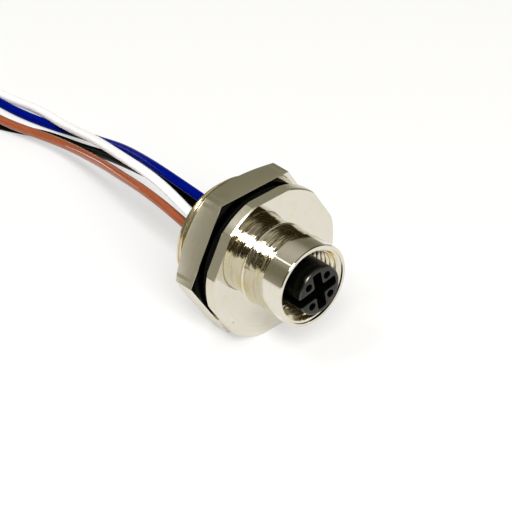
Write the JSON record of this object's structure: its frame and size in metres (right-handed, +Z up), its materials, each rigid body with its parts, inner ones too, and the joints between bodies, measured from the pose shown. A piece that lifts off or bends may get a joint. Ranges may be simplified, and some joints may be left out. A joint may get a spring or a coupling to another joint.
{
  "type": "M12 panel-mount receptacle",
  "caption": "Round metal panel receptacle with a hexagon flange, an internally threaded coupling sleeve, socket contacts, a panel nut and seal, and loose single leads.",
  "frame": {"origin": "centre of the mating mouth, on the connector axis, in the plane of the sleeve's front rim", "axes": "+X along the connector axis, out of the mating mouth; +Z up, square to the level flats of the two hexagons; the leads run towards -X"},
  "size_m": [0.12, 0.0278, 0.024],
  "materials": {
    "nickel_plated_brass": "bright nickel plating over turned brass, with fine turning marks",
    "black_rubber": "smooth black sealing rubber",
    "black_moulding": "black moulded contact insert, satin",
    "potting_resin": "cast black resin",
    "gold_contact": "gold-plated contact",
    "tinned_copper": "tinned copper strands",
    "lead_blue": "smooth blue insulation",
    "lead_white": "smooth white insulation",
    "lead_brown": "smooth brown insulation",
    "lead_black": "smooth black insulation",
    "lead_bundle": "the four insulated leads wound up together",
    "black_tie": "soft black tie"
  },
  "bodies": {
    "housing": {"housing": "nickel_plated_brass", "contact_carrier": "black_moulding", "carrier_base": "black_moulding", "carrier_seal": "black_rubber", "retaining_ring": "nickel_plated_brass", "potting": "potting_resin", "socket_contact_1": "gold_contact", "socket_contact_2": "gold_contact", "socket_contact_3": "gold_contact", "socket_contact_4": "gold_contact", "conductor_1": "tinned_copper", "conductor_2": "tinned_copper", "conductor_3": "tinned_copper", "conductor_4": "tinned_copper", "lead_blue": "lead_blue", "lead_white": "lead_white", "lead_brown": "lead_brown", "lead_black": "lead_black", "lead_coil": "lead_bundle", "coil_tie": "black_tie", "lead_ends": "tinned_copper"},
    "seal": {"panel_seal": "black_rubber"},
    "nut": {"hex_nut": "nickel_plated_brass"}
  },
  "joints": [
    {"name": "nut_turn", "type": "hinge", "parent": "housing", "child": "seal", "pos_m": [-0.0118, 0, 0], "axis": [1, 0, 0], "range_deg": [-1440, 120]},
    {"name": "nut_travel", "type": "slide", "parent": "seal", "child": "nut", "axis": [1, 0, 0], "range_m": [-0.006, 0.0005]}
  ],
  "couplings": [
    {"joint": "nut_turn", "follows": "nut_travel", "rad_per_m": 4188.8}
  ]
}
